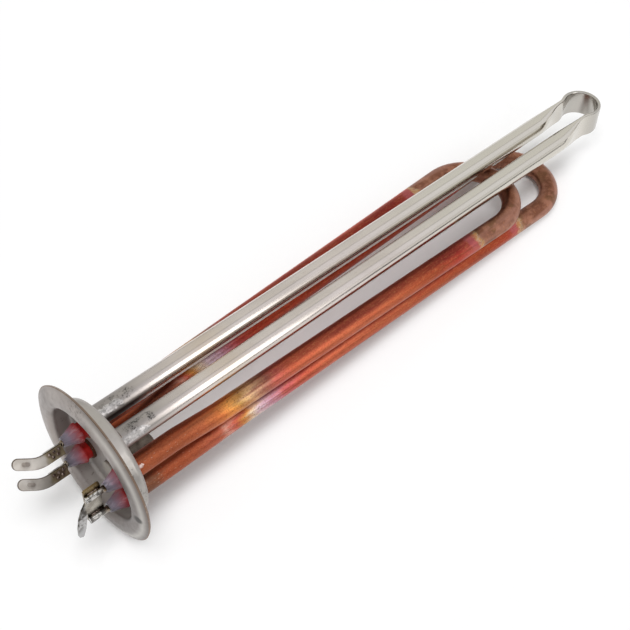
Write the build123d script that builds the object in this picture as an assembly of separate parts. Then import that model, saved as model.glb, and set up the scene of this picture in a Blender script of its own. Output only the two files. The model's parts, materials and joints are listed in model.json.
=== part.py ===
"""Flange immersion heater: a pressed steel flange, two copper heating loops and a sensor well.

Millimetres. The origin is the centre of the flange at its sealing edge, +X runs along the elements
into the tank and +Z is up. The terminals are on the -X side, and +Y is their left side.
"""
import os
from math import asin, atan, cos, pi, radians, sin, sqrt

from build123d import *

# Flange, pressed from one sheet: a cup with a domed brim round its mouth
sheet = 0.8
brim_radius = 32.0
brim_dome_radius = 14.0
mouth_curl_radius = 2.4
cup_radius = 23.5
cup_depth = 6.6
cup_shoulder_radius = 2.4

# Clearances
braze_gap = 0.05
slip_gap = 0.05
weld_gap = 0.02

# Sensor well, one stainless tube with its middle pressed flat and bent to a keyhole
well_radius = 4.0
well_wall = 0.6
well_pitch = 13.0
well_height = 13.7
well_inset = 1.1
well_length = 269.1
flat_half_thickness = 0.75
flattening_start = 237.6
flattening_length = 16.0
flattening_steps = 5
keyhole_radius = 7.75
keyhole_neck_radius = 7.0

# Heating elements: the short loop lies above the long one
sheath_radius = 4.0
sheath_wall = 0.7
sheath_inset = 1.0
root_pitch = 24.8
straight_root = 25.6
root_bend_radius = 60.0
short_height = 2.8
short_length = 212.6
short_settle = (43.6, 27.7, 3.0)
short_splay = 0.0275
short_rise = 0.013
long_height = -9.8
long_length = 238.8
long_settle = (55.6, 28.5, -6.3)
long_splay = 0.0204
long_rise = 0.0153

# Inside the sheaths
coil_radius = 1.6
pin_radius = 1.25
pin_buried_length = 11.0

# Sheath ends: red bush, then a clear silicone cone
bush_inside = 3.6
bush_outside = 2.3
bush_chamfer = 0.3
cone_length = 6.9
cone_lip = 0.6
cone_base_radius = 4.0
cone_waist_place = 3.4
cone_waist_radius = 2.95
cone_tip_radius = 1.9

# Flattened ends of the pins
pin_flattening = 1.0
pin_flattening_steps = 3
pin_drift = 0.8
pin_flat_length = 6.6
pin_flat_half_thickness = 0.8
pin_flat_start_gap = 0.1

# Terminal tabs
tab_thickness = 0.8
tab_width = 4.2
tab_offset = 0.7
tab_turn = 32.0
tab_elbow_radius = 10.0
tab_straight = 7.0
tab_blade = 4.5
tab_roll = 45.0
weld_spot_radius = 0.5
weld_spot_depth = 0.15
weld_spot_places = (1.4, 3.3, 5.2)
tab_detent_length = 3.0
tab_detent_width = 1.5
tab_detent_depth = 0.2
tab_detent_place = 1.8

# Common terminal, which joins the two pins on the right
bridge_length = 6.7
bridge_top_margin = 4.0
bridge_bottom_margin = 1.6
bridge_corner_radius = 0.8
bridge_blade_height = -2.2
bridge_blade_droop = 58.0
bridge_blade_fold = 22.0
bridge_fold_radius = 1.6
bridge_blade_length = 9.3
bridge_blade_root = 3.0
bridge_blade_stem = 1.2
bridge_blade_width = 3.5
bridge_neck_width = 2.0
bridge_neck_end = 1.0
bridge_spread_end = 4.6
bridge_taper_start = 7.8
bridge_tip_width = 2.0
bridge_blade_rounding = 0.8

# Anode boss, turned, with a threaded bore open to the tank
boss_radius = 5.0
boss_length = 17.0
boss_height = -9.5
boss_spigot_radius = 3.5
boss_spigot_end = 1.0
boss_chamfer = 0.6
thread_bore_radius = 2.5
thread_depth = 12.0

# Places worked out from the sizes above
cup_floor = cup_depth - sheet
sheath_start = cup_floor - sheath_inset
bush_face = sheath_start - bush_outside
bush_back = sheath_start + bush_inside
cone_tip = bush_face - cone_length
pin_inner_end = bush_back + pin_buried_length
flat_start = cone_tip - pin_flat_start_gap - pin_flattening
tab_start = flat_start - weld_gap

ROUND_CORNER = 45.0
FLAT_CORNER = 85.0
LEFT = 1
RIGHT = -1


def flattened_outline(half_thickness, straight_half, corner):
    """Four arcs round a tube pressed flat. The first axis is its thickness, the second its width."""
    side = half_thickness * sin(radians(corner))
    end = straight_half + half_thickness * cos(radians(corner))
    tip = straight_half + half_thickness
    right = ThreePointArc((side, -end), (half_thickness, 0), (side, end))
    top = ThreePointArc((side, end), (0, tip), (-side, end))
    left = ThreePointArc((-side, end), (-half_thickness, 0), (-side, -end))
    bottom = ThreePointArc((-side, -end), (0, -tip), (side, -end))
    return make_face([right, top, left, bottom])


def pressed_section(share, radius, final_half_thickness, inset=0.0):
    """Section of a round bar or tube when pressed flat by a share of the way, its girth kept.

    The inset is the wall left round an inner section.
    """
    half_thickness = radius + (final_half_thickness - radius) * share
    straight_half = pi * (radius - half_thickness) / 2
    corner = ROUND_CORNER + (FLAT_CORNER - ROUND_CORNER) * share
    return flattened_outline(half_thickness - inset, straight_half, corner)


def eased(step, steps):
    """Smooth run from 0 to 1 with no slope at its ends."""
    share = step / steps
    return share * share * (3 - 2 * share)


def pressed_run(start, length, radius, final_half_thickness, steps, width_angle=0.0, inset=0.0, drift=0.0):
    """Loft from round to flat along X, from the plane at start.

    Its centre line leaves the X axis by the drift, in the direction of the flat's width.
    """
    sections = []
    for step in range(steps + 1):
        place = Plane((start + length * step / steps, 0, 0), x_dir=(0, 1, 0), z_dir=(1, 0, 0))
        share = eased(step, steps)
        section = pressed_section(share, radius, final_half_thickness, inset)
        sections.append(place * Rot(Z=width_angle) * Pos(0, drift * share, 0) * section)
    return loft(sections)


def rod(radius, start, end, centre=(0.0, 0.0)):
    """Cylinder along X between two places, at (Y, Z)."""
    base = Plane((start, centre[0], centre[1]), x_dir=(0, 1, 0), z_dir=(1, 0, 0))
    return extrude(base * Circle(radius), end - start)


def flange():
    """The pressed sheet, turned from its profile, with the holes for what is brazed into its floor."""
    inner_wall = cup_radius - sheet
    apex_radius = inner_wall + mouth_curl_radius
    dome_angle = asin((brim_radius - apex_radius) / brim_dome_radius)
    back_dome_radius = brim_dome_radius - sheet
    lip_height = brim_dome_radius - back_dome_radius * cos(dome_angle)
    curl_x = mouth_curl_radius - lip_height
    dome_x = brim_dome_radius - lip_height
    back_curl_radius = mouth_curl_radius - sheet
    inner_shoulder = cup_shoulder_radius - sheet

    def on_circle(centre_x, centre_r, radius, angle):
        return (centre_x - radius * cos(angle), centre_r + radius * sin(angle))

    half = dome_angle / 2
    shoulder_x = cup_depth - cup_shoulder_radius
    shoulder_r = cup_radius - cup_shoulder_radius
    eighth = radians(45)
    quarter = radians(90)
    back_edge = on_circle(dome_x, apex_radius, back_dome_radius, dome_angle)
    front_edge = on_circle(dome_x, apex_radius, brim_dome_radius, dome_angle)
    front = [
        Line(back_edge, front_edge),
        ThreePointArc(
            front_edge,
            on_circle(dome_x, apex_radius, brim_dome_radius, half),
            on_circle(dome_x, apex_radius, brim_dome_radius, 0),
        ),
        ThreePointArc(
            (-lip_height, apex_radius),
            on_circle(curl_x, apex_radius, mouth_curl_radius, -eighth),
            on_circle(curl_x, apex_radius, mouth_curl_radius, -quarter),
        ),
        Line((curl_x, inner_wall), (shoulder_x, inner_wall)),
        ThreePointArc(
            (shoulder_x, inner_wall),
            (shoulder_x + inner_shoulder * sin(eighth), shoulder_r + inner_shoulder * cos(eighth)),
            (cup_floor, shoulder_r),
        ),
        Line((cup_floor, shoulder_r), (cup_floor, 0)),
    ]
    back = [
        Line((cup_floor, 0), (cup_depth, 0)),
        Line((cup_depth, 0), (cup_depth, shoulder_r)),
        ThreePointArc(
            (cup_depth, shoulder_r),
            (
                shoulder_x + cup_shoulder_radius * sin(eighth),
                shoulder_r + cup_shoulder_radius * cos(eighth),
            ),
            (shoulder_x, cup_radius),
        ),
        Line((shoulder_x, cup_radius), (curl_x, cup_radius)),
        ThreePointArc(
            (curl_x, cup_radius),
            on_circle(curl_x, apex_radius, back_curl_radius, -eighth),
            (curl_x - back_curl_radius, apex_radius),
        ),
        ThreePointArc(
            (curl_x - back_curl_radius, apex_radius),
            on_circle(dome_x, apex_radius, back_dome_radius, half),
            back_edge,
        ),
    ]
    shell = revolve(make_face(front + back), Axis.X)
    for side in (LEFT, RIGHT):
        for height in (short_height, long_height):
            shell -= rod(sheath_radius + braze_gap, 0, cup_depth + sheet, (side * root_pitch / 2, height))
        shell -= rod(well_radius + braze_gap, 0, cup_depth + sheet, (side * well_pitch / 2, well_height))
    shell -= rod(boss_spigot_radius + braze_gap, 0, cup_depth + sheet, (0, boss_height))
    return shell


def keyhole_band():
    """The flattened middle of the well's tube: a neck on each side and the ring between them."""
    ring_centre = well_length - keyhole_radius - flat_half_thickness
    half_pitch = well_pitch / 2
    neck_y = half_pitch + keyhole_neck_radius
    reach = keyhole_radius + keyhole_neck_radius
    neck_x = ring_centre - sqrt(reach ** 2 - neck_y ** 2)
    opening = asin(neck_y / reach)
    touch_share = keyhole_radius / reach
    touch = (ring_centre - (ring_centre - neck_x) * touch_share, neck_y * touch_share)
    start = flattening_start + flattening_length
    half_turn = (radians(90) - opening) / 2
    neck_middle = (
        neck_x + keyhole_neck_radius * sin(half_turn),
        neck_y - keyhole_neck_radius * cos(half_turn),
    )
    left_neck = ThreePointArc((neck_x, half_pitch), neck_middle, touch)
    ring = ThreePointArc(touch, (ring_centre + keyhole_radius, 0), (touch[0], -touch[1]))
    right_neck = ThreePointArc(
        (touch[0], -touch[1]), (neck_middle[0], -neck_middle[1]), (neck_x, -half_pitch)
    )
    pieces = [left_neck, ring, right_neck]
    if neck_x > start:
        pieces = [Line((start, half_pitch), (neck_x, half_pitch))] + pieces
        pieces.append(Line((neck_x, -half_pitch), (start, -half_pitch)))
    section = Plane((start, half_pitch, 0), x_dir=(0, 1, 0), z_dir=(1, 0, 0))
    section = section * pressed_section(1.0, well_radius, flat_half_thickness)
    return sweep(section, path=Wire(pieces))


def sensor_well():
    """Both legs, their flattening and the keyhole, with a bore up each leg that ends where it is shut."""
    tube_start = cup_floor - well_inset
    well = Pos(0, 0, well_height) * keyhole_band()
    for side in (LEFT, RIGHT):
        place = Pos(0, side * well_pitch / 2, well_height)
        well += place * rod(well_radius, tube_start, flattening_start)
        well += place * pressed_run(
            flattening_start, flattening_length, well_radius, flat_half_thickness, flattening_steps
        )
    for side in (LEFT, RIGHT):
        place = Pos(0, side * well_pitch / 2, well_height)
        well -= place * rod(well_radius - well_wall, tube_start, flattening_start)
        well -= place * pressed_run(
            flattening_start, flattening_length, well_radius, flat_half_thickness, flattening_steps,
            inset=well_wall,
        )
    return well


def loop_path(height, length, settle, splay, rise, start):
    """Centre line of one heating loop, from the left leg's start to the right leg's.

    Each leg leaves the flange square, settles over a short bend and then runs on, splayed and rising,
    to the round end.
    """
    settle_x, settle_pitch, settle_height = settle
    slope = atan(rise)
    stretch = sqrt(1 + rise ** 2)
    reach = (length - sheath_radius - settle_x) * stretch
    end_radius = (settle_pitch / 2 + splay * reach) / (sqrt(1 + splay ** 2) + splay)
    centre = reach - end_radius
    turn = atan(splay)
    ahead = (cos(slope), 0, sin(slope))
    slanted = Plane((settle_x, 0, settle_height), x_dir=ahead, z_dir=(-sin(slope), 0, cos(slope)))
    tangent = (centre - end_radius * sin(turn), end_radius * cos(turn))
    left_end = slanted.from_local_coords(Vector(tangent[0], tangent[1], 0))
    right_end = slanted.from_local_coords(Vector(tangent[0], -tangent[1], 0))
    far = slanted.from_local_coords(Vector(centre + end_radius, 0, 0))

    def leg(side, end):
        return FilletPolyline(
            (start, side * root_pitch / 2, height),
            (straight_root, side * root_pitch / 2, height),
            (settle_x, side * settle_pitch / 2, settle_height),
            end,
            radius=root_bend_radius,
        )

    round_end = ThreePointArc(left_end, far, right_end)
    return Wire(leg(LEFT, left_end).edges() + [round_end] + leg(RIGHT, right_end).edges())


def along(path, radius):
    """Round bar of this radius along a path that starts square to X."""
    start = path.position_at(0)
    section = Plane(start, x_dir=(0, 1, 0), z_dir=path.tangent_at(0))
    return sweep(section * Circle(radius), path=path)


def heating_loop(name, height, length, settle, splay, rise):
    """Sheath, magnesia fill and resistance coil of one loop, as named solids."""

    def bar(radius, start):
        return along(loop_path(height, length, settle, splay, rise, start), radius)

    bore = sheath_radius - sheath_wall
    fill_start = bush_back + slip_gap
    fill = bar(bore - slip_gap, fill_start) - bar(coil_radius + slip_gap, pin_inner_end)
    for side in (LEFT, RIGHT):
        fill -= rod(pin_radius + slip_gap, fill_start, pin_inner_end, (side * root_pitch / 2, height))
    return {
        f"sheath_{name}": bar(sheath_radius, sheath_start) - bar(bore, sheath_start),
        f"fill_{name}": fill,
        f"coil_{name}": bar(coil_radius, pin_inner_end + slip_gap),
    }


def bush():
    """Moulded plug in the sheath's mouth, on the X axis, with a bore for the pin."""
    radius = sheath_radius - sheath_wall - slip_gap
    plug = rod(radius, bush_face, bush_back)
    plug = chamfer(plug.edges().group_by(Axis.X)[0], bush_chamfer)
    return plug - rod(pin_radius + slip_gap, bush_face, bush_back)


def seal_cone():
    """Cast silicone cone round the pin, on the X axis, seated on the bush."""
    outline = make_face([
        Polyline(
            (bush_face, pin_radius + slip_gap),
            (bush_face, cone_base_radius),
            (bush_face - cone_lip, cone_base_radius),
        ),
        ThreePointArc(
            (bush_face - cone_lip, cone_base_radius),
            (bush_face - cone_waist_place, cone_waist_radius),
            (cone_tip, cone_tip_radius),
        ),
        Polyline(
            (cone_tip, cone_tip_radius),
            (cone_tip, pin_radius + slip_gap),
            (bush_face, pin_radius + slip_gap),
        ),
    ])
    return revolve(outline, Axis.X)


def pin(width_angle, drift):
    """Cold pin on the X axis: round in the element, pressed flat where the terminal is welded on."""
    run_start = flat_start + pin_flattening
    pressed = pressed_run(
        run_start, -pin_flattening, pin_radius, pin_flat_half_thickness, pin_flattening_steps,
        width_angle, drift=drift,
    )
    flat_plane = Plane((flat_start, 0, 0), x_dir=(0, 1, 0), z_dir=(1, 0, 0))
    flat = pressed_section(1.0, pin_radius, pin_flat_half_thickness)
    flat = flat_plane * Rot(Z=width_angle) * Pos(0, drift, 0) * flat
    return rod(pin_radius, run_start, pin_inner_end) + pressed + extrude(flat, -pin_flat_length)


def elbow_tab():
    """Blanked terminal tab in the plane of its face: X is along the pin, the blade bends towards +Y.

    The weld spots lie on the pin's line, to one side of the tab's own.
    """
    turn = radians(tab_turn)
    elbow_end = (
        -tab_straight - tab_elbow_radius * sin(turn),
        tab_elbow_radius * (1 - cos(turn)),
    )
    elbow_middle = (
        -tab_straight - tab_elbow_radius * sin(turn / 2),
        tab_elbow_radius * (1 - cos(turn / 2)),
    )
    tip = (elbow_end[0] - tab_blade * cos(turn), elbow_end[1] + tab_blade * sin(turn))
    centre_line = Wire([
        Line((0, 0), (-tab_straight, 0)),
        ThreePointArc((-tab_straight, 0), elbow_middle, elbow_end),
        Line(elbow_end, tip),
    ])
    face = trace(centre_line, tab_width) + Pos(*tip) * Circle(tab_width / 2)
    plate = extrude(face, tab_thickness)
    for place in weld_spot_places:
        spot = Pos(-place, tab_offset, tab_thickness - weld_spot_depth)
        plate -= spot * extrude(Circle(weld_spot_radius), 2 * weld_spot_depth)
    detent = Pos(
        elbow_end[0] - tab_detent_place * cos(turn),
        elbow_end[1] + tab_detent_place * sin(turn),
        tab_thickness - tab_detent_depth,
    )
    hollow = extrude(SlotOverall(tab_detent_length, tab_detent_width), 2 * tab_detent_depth)
    return plate - detent * Rot(Z=-tab_turn) * hollow


def left_tab(height):
    """An elbow tab lapped over the flattened pin on the left side."""
    lift = pin_flat_half_thickness + weld_gap
    place = Pos(tab_start, root_pitch / 2, height) * Rot(X=tab_roll)
    return place * Pos(0, -pin_drift - tab_offset, lift) * elbow_tab()


def blade_outline():
    """Outline of the common blade in its flat, pointing along X: a neck, a wide middle and a rounded tip."""
    end = bridge_blade_stem + bridge_blade_length
    edge = [
        (-bridge_blade_root, bridge_neck_width / 2),
        (bridge_neck_end, bridge_neck_width / 2),
        (bridge_spread_end, bridge_blade_width / 2),
        (bridge_taper_start, bridge_blade_width / 2),
        (end, bridge_tip_width / 2),
    ]
    mirrored = [(place, -half) for place, half in reversed(edge)]
    outline = make_face(Polyline(*edge, *mirrored, close=True))
    rounded = [corner for corner in outline.vertices() if corner.X > 0]
    return fillet(rounded, bridge_blade_rounding)


def bridge():
    """Common terminal: a plate behind the two right-hand pins, with one blade folded out and down."""
    outer_face = -root_pitch / 2 + pin_flat_half_thickness + weld_gap
    inner_face = outer_face + tab_thickness
    top = short_height + bridge_top_margin
    bottom = long_height - bridge_bottom_margin
    centre = (tab_start - bridge_length / 2, inner_face, (top + bottom) / 2)
    outline = RectangleRounded(bridge_length, top - bottom, bridge_corner_radius)
    plate = extrude(Plane(centre, x_dir=(1, 0, 0), z_dir=(0, -1, 0)) * outline, tab_thickness)
    blade_root = (tab_start - bridge_length, outer_face, bridge_blade_height)
    droop = radians(bridge_blade_droop)
    ahead = (-cos(droop), 0, -sin(droop))
    across = (-sin(droop), 0, cos(droop))
    fold = radians(bridge_blade_fold)
    side = Plane(blade_root, x_dir=ahead, z_dir=across)

    def folded(distance, radius):
        return (
            bridge_blade_stem + radius * sin(fold) + distance * cos(fold),
            bridge_fold_radius - radius * cos(fold) + distance * sin(fold),
        )

    def half_folded(radius):
        return (bridge_blade_stem + radius * sin(fold / 2), bridge_fold_radius - radius * cos(fold / 2))

    inside = bridge_fold_radius
    outside = bridge_fold_radius + tab_thickness
    profile = make_face([
        Polyline((bridge_blade_stem, -tab_thickness), (-bridge_blade_root, -tab_thickness),
                 (-bridge_blade_root, 0), (bridge_blade_stem, 0)),
        ThreePointArc((bridge_blade_stem, 0), half_folded(inside), folded(0, inside)),
        Polyline(folded(0, inside), folded(bridge_blade_length, inside),
                 folded(bridge_blade_length, outside), folded(0, outside)),
        ThreePointArc(folded(0, outside), half_folded(outside), (bridge_blade_stem, -tab_thickness)),
    ])
    strip = extrude(side * profile, bridge_blade_width, both=True)
    flat = Plane(blade_root, x_dir=ahead, z_dir=(0, -1, 0))
    blade = strip & extrude(flat * blade_outline(), bridge_blade_length, both=True)
    return plate + blade


def anode_boss():
    """Turned boss brazed into the cup's floor, its threaded bore open at the tank end."""
    end = cup_depth + boss_length
    body = rod(boss_radius, cup_depth, end, (0, boss_height))
    body = chamfer(body.edges().group_by(Axis.X)[-1], boss_chamfer)
    body += rod(boss_spigot_radius, cup_floor - boss_spigot_end, cup_depth, (0, boss_height))
    return body - rod(thread_bore_radius, end - thread_depth, end, (0, boss_height))


def pieces():
    """Every piece by its node's name."""
    made = {"flange": flange(), "sensor_well": sensor_well(), "anode_boss": anode_boss()}
    made |= heating_loop("short", short_height, short_length, short_settle, short_splay, short_rise)
    made |= heating_loop("long", long_height, long_length, long_settle, long_splay, long_rise)
    for loop_name, height in (("short", short_height), ("long", long_height)):
        for side_name, side in (("left", LEFT), ("right", RIGHT)):
            place = Pos(0, side * root_pitch / 2, height)
            flat_end = pin(tab_roll - 90, -pin_drift) if side == LEFT else pin(0, 0)
            made[f"pin_{loop_name}_{side_name}"] = place * flat_end
            made[f"bush_{loop_name}_{side_name}"] = place * bush()
            made[f"cone_{loop_name}_{side_name}"] = place * seal_cone()
        made[f"tab_{loop_name}"] = left_tab(height)
    made["bridge"] = bridge()
    return made


def main():
    os.makedirs("parts", exist_ok=True)
    for name, solid in pieces().items():
        export_step(solid, f"parts/{name}.step")


main()
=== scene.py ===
"""Looks of a flange immersion heater: finishes, braze beads, weld marks, floor, light and camera.

Metres, in the CAD model's frame: +X runs along the elements into the tank, +Z is up.
"""
import json
from math import atan2, cos, pi, radians, sin

import bpy
from mathutils import Matrix, Vector, noise


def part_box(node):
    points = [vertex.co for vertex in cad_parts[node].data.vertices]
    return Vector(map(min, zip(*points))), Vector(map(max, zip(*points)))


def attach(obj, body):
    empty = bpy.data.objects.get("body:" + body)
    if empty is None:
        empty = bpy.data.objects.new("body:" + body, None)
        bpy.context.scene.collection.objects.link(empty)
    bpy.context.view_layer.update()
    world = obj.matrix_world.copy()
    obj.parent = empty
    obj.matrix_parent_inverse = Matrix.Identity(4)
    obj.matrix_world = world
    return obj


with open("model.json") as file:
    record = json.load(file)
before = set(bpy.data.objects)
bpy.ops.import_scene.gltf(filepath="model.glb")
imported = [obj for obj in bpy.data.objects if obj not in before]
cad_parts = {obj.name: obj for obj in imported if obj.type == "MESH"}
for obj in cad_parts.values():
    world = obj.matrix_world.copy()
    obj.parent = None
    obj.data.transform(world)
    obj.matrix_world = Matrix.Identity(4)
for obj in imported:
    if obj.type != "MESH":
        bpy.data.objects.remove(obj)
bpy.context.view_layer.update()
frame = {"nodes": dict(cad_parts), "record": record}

MM = 0.001
LOOPS = ("short", "long")
ENDS = [f"{loop}_{side}" for loop in LOOPS for side in ("left", "right")]

# Camera of the photograph
CAMERA_PLACE = (-0.11161, -0.22074, 0.35503)
CAMERA_RIGHT = (0.7346, -0.6780, 0.0251)
CAMERA_UP = (0.5008, 0.5668, 0.6542)
CAMERA_LENS = 69.59
CAMERA_SENSOR = 36.0

# Flange and tubes, in millimetres as the CAD model has them, with the cup's wall taken at its middle
BRIM_RADIUS = 32.0
CUP_WALL_RADIUS = 23.1
TUBE_RADIUS = 4.0

# About the radius at which both copper loops turn back, in millimetres
LOOP_END_RADIUS = 17.6

# Elbow tabs and pins, in millimetres and degrees as the CAD model has them
TAB_ROLL = 45.0
TAB_WIDTH = 4.2
TAB_OFFSET = 0.7
TAB_STRAIGHT = 7.0
TAB_TURN = 32.0
TAB_ELBOW_RADIUS = 10.0
TAB_BLADE = 4.5
TAB_DETENT_DEPTH = 0.2
PIN_DRIFT = 0.8
WELD_SPOT_RADIUS = 0.5

# Spot welds in millimetres along a tab and across it: three that the CAD model dimples, two beside them
WELD_SPOT_PLACES = ((1.4, 0.0), (3.3, 0.0), (5.2, 0.0), (2.3, -1.35), (4.3, -1.45))

# Straight stretches that stand for a tab's elbow where the darkening follows its rim
TAB_ELBOW_STEPS = 4

# Marks on single spots, in metres
BRIM_SPECKS = (-0.0021, 0.0025, 0.0284)
BRIM_SMEAR = (0.0050, -0.0234, 0.0002)
# Middle of a dark spot painted as the shade of a small dent in the brim
BRIM_DENT_SHADE = (-0.0023, -0.0276, -0.0015)
ROOT_SPLASH = (0.0092, -0.0152, 0.0056)

# Pale ring on each copper loop, in millimetres before its round end
RING_BEFORE_END = 16.0

# Beads of braze round the tubes, in millimetres
BEAD_WIDTH = 1.1
BEAD_HEIGHT = 0.9
BEAD_STEPS = 8
BEAD_COLUMNS = 48
BEAD_WOBBLE = 0.5

# Lumps of the spot welds: half the outline as millimetres of height and shares of the spot's radius
NUGGET_PROFILE = ((0.15, 0.04), (0.14, 0.35), (0.10, 0.65), (0.03, 0.88), (0.05, 1.05), (-0.05, 1.25))
NUGGET_COLUMNS = 20
NUGGET_WOBBLE = 1.4
NUGGET_SEEDS_APART = 7

# Unevenness of beads and nuggets: how close together its lumps are, and how much of them goes sideways
LUMPS_ROUND = 2.3
LUMPS_ALONG = 300.0
LUMPS_SIDEWAYS = 0.35

# Splash of flux, in millimetres and shares of its reach
SPLASH_REACH = 0.9
SPLASH_STRETCH = 1.3
SPLASH_RAGGED = 0.5
SPLASH_THICKNESS = 0.22
SPLASH_SINK = 0.04
SPLASH_RINGS = 5
SPLASH_COLUMNS = 24

# Welds along the right pins, in millimetres and a share of the pin's width
PIN_WELD_START = 0.8
PIN_WELD_LENGTH = 4.6
PIN_WELD_RADIUS = 0.38
PIN_WELD_ASIDE = 0.80
PIN_WELD_SINK = 0.15
PIN_WELD_LUMPS = 7.0
PIN_WELD_ROWS = 20
PIN_WELD_COLUMNS = 12

# Runs of braze on the legs of the steel tube: degrees round the leg, and reach in millimetres
ROOT_RUNS = {"left": (126.0, 14.0), "right": (149.0, 13.0)}
RUN_HALF_ANGLE = 33.0
RUN_THICKNESS = 0.16
RUN_ROWS = 60
RUN_COLUMNS = 36

# Their raggedness as (strength, lumps per metre), and the shares of width and reach where they thin out
RUN_LUMPS = ((0.70, 380.0), (0.28, 1000.0))
RUN_SIDE_RIM = 0.8
RUN_END_RIM = 0.9

# Floor, in metres, and the slopes between which its own slope is sought
FLOOR_X = (-0.36, 0.62)
FLOOR_Y = (-0.175, 0.46)
FLATTEST_SLOPE = 0.0
STEEPEST_SLOPE = 0.3
SLOPE_HALVINGS = 30

# The tent that metal mirrors: degrees up from the front horizon and over the top to the back, its level
# there, and its share of blue
TENT_LEVELS = (
    (0.0, 0.10, 1.0), (3.0, 0.12, 1.0), (7.0, 0.60, 1.0), (11.0, 0.86, 0.98), (25.0, 0.86, 0.98),
    (28.5, 0.58, 1.0), (33.0, 0.93, 1.02), (76.0, 0.96, 1.03), (84.0, 0.56, 1.0), (92.0, 0.86, 0.96),
    (150.0, 0.82, 0.97), (180.0, 0.74, 0.98),
)

# How strongly the tent lights dull surfaces
DOME_LEVEL = 0.62


def colour(red, green, blue):
    """Linear colour with full alpha from the 0 to 255 values of a screen."""

    def linear(value):
        share = value / 255
        return share / 12.92 if share <= 0.04045 else ((share + 0.055) / 1.055) ** 2.4

    return (linear(red), linear(green), linear(blue), 1.0)


# Short ways to build nodes


class Nodes:
    """A node tree, with short words for the kinds of node that are used here."""

    def __init__(self, tree):
        self.tree = tree

    def node(self, kind, options=None, **inputs):
        made = self.tree.nodes.new(kind)
        for key, value in (options or {}).items():
            setattr(made, key, value)
        for key, value in inputs.items():
            self.feed(made.inputs[key], value)
        return made

    def feed(self, socket, value):
        if isinstance(value, bpy.types.NodeSocket):
            self.tree.links.new(value, socket)
        else:
            socket.default_value = value

    def maths(self, operation, first, second=0.0):
        made = self.node("ShaderNodeMath", {"operation": operation})
        self.feed(made.inputs[0], first)
        self.feed(made.inputs[1], second)
        return made.outputs[0]

    def fold(self, operation, values):
        """One operation over several values, from the first to the last."""
        total = values[0]
        for value in values[1:]:
            total = self.maths(operation, total, value)
        return total

    def plus(self, *values):
        return self.fold("ADD", values)

    def minus(self, first, second):
        return self.maths("SUBTRACT", first, second)

    def times(self, *values):
        return self.fold("MULTIPLY", values)

    def largest(self, *values):
        return self.fold("MAXIMUM", values)

    def smallest(self, *values):
        return self.fold("MINIMUM", values)

    def unsigned(self, value):
        return self.maths("ABSOLUTE", value)

    def ramp(self, value, low, high, start=0.0, end=1.0):
        """Smooth step of a value from low to high, which goes from start to end."""
        made = self.node("ShaderNodeMapRange", {"interpolation_type": "SMOOTHSTEP"}, Value=value)
        made.inputs["From Min"].default_value = low
        made.inputs["From Max"].default_value = high
        made.inputs["To Min"].default_value = start
        made.inputs["To Max"].default_value = end
        return made.outputs[0]

    def band(self, value, low, high, soft):
        """1 between low and high, falling to 0 over a soft edge on each side."""
        rise = self.ramp(value, low - soft, low + soft)
        fall = self.ramp(value, high - soft, high + soft, 1.0, 0.0)
        return self.times(rise, fall)

    def wander(self, cloud, amount):
        """A cloud as a shift to and fro, by up to half the amount each way."""
        return self.times(self.minus(cloud, 0.5), amount)

    def vector(self, x, y, z):
        return self.node("ShaderNodeCombineXYZ", X=x, Y=y, Z=z).outputs[0]

    def parts(self, vector):
        return self.node("ShaderNodeSeparateXYZ", Vector=vector).outputs

    def vector_maths(self, operation, first, second):
        made = self.node("ShaderNodeVectorMath", {"operation": operation})
        self.feed(made.inputs[0], first)
        self.feed(made.inputs[1], second)
        return made

    def scaled(self, vector, factors):
        return self.vector_maths("MULTIPLY", vector, factors).outputs[0]

    def dot(self, vector, direction):
        return self.vector_maths("DOT_PRODUCT", vector, direction).outputs["Value"]

    def distance(self, first, second):
        return self.vector_maths("DISTANCE", first, second).outputs["Value"]

    def off_line(self, place, first, last):
        """Distance from the straight line between two points."""
        along = (last - first).normalized()
        offset = self.vector_maths("SUBTRACT", place, first).outputs[0]
        reach = self.largest(self.dot(offset, along), 0.0)
        reach = self.smallest(reach, (last - first).length)
        nearest = self.node("ShaderNodeVectorMath", {"operation": "SCALE"}, Scale=reach)
        nearest.inputs[0].default_value = along
        return self.distance(offset, nearest.outputs[0])

    def cloud(self, vector, scale, detail=3.0, roughness=0.55):
        made = self.node("ShaderNodeTexNoise", Vector=vector, Scale=scale, Detail=detail)
        made.inputs["Roughness"].default_value = roughness
        return made.outputs[0]

    def rings(self, vector, scale, distortion=0.0):
        """Bands across X, which are rings round a turned or wound piece."""
        made = self.node("ShaderNodeTexWave", {"wave_type": "BANDS", "bands_direction": "X"}, Vector=vector)
        made.inputs["Scale"].default_value = scale
        made.inputs["Distortion"].default_value = distortion
        return made.outputs[1]

    def mix(self, share, first, second):
        """The first colour, with the second laid over it as strongly as the share says."""
        made = self.node("ShaderNodeMix", {"data_type": "RGBA"})
        self.feed(made.inputs[0], share)
        self.feed(made.inputs[6], first)
        self.feed(made.inputs[7], second)
        return made.outputs[2]

    def stops(self, value, entries):
        """Colours along a value: entries are (place, colour), from the lowest place to the highest."""
        low = entries[0][0]
        high = entries[-1][0]
        share = self.node("ShaderNodeMapRange", Value=value)
        share.inputs["From Min"].default_value = low
        share.inputs["From Max"].default_value = high
        made = self.node("ShaderNodeValToRGB", Fac=share.outputs[0])
        elements = made.color_ramp.elements
        while len(elements) > 1:
            elements.remove(elements[-1])
        for index, (place, tint) in enumerate(entries):
            position = (place - low) / (high - low)
            element = elements[0] if index == 0 else elements.new(position)
            element.position = position
            element.color = tint
        return made.outputs[0]


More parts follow.
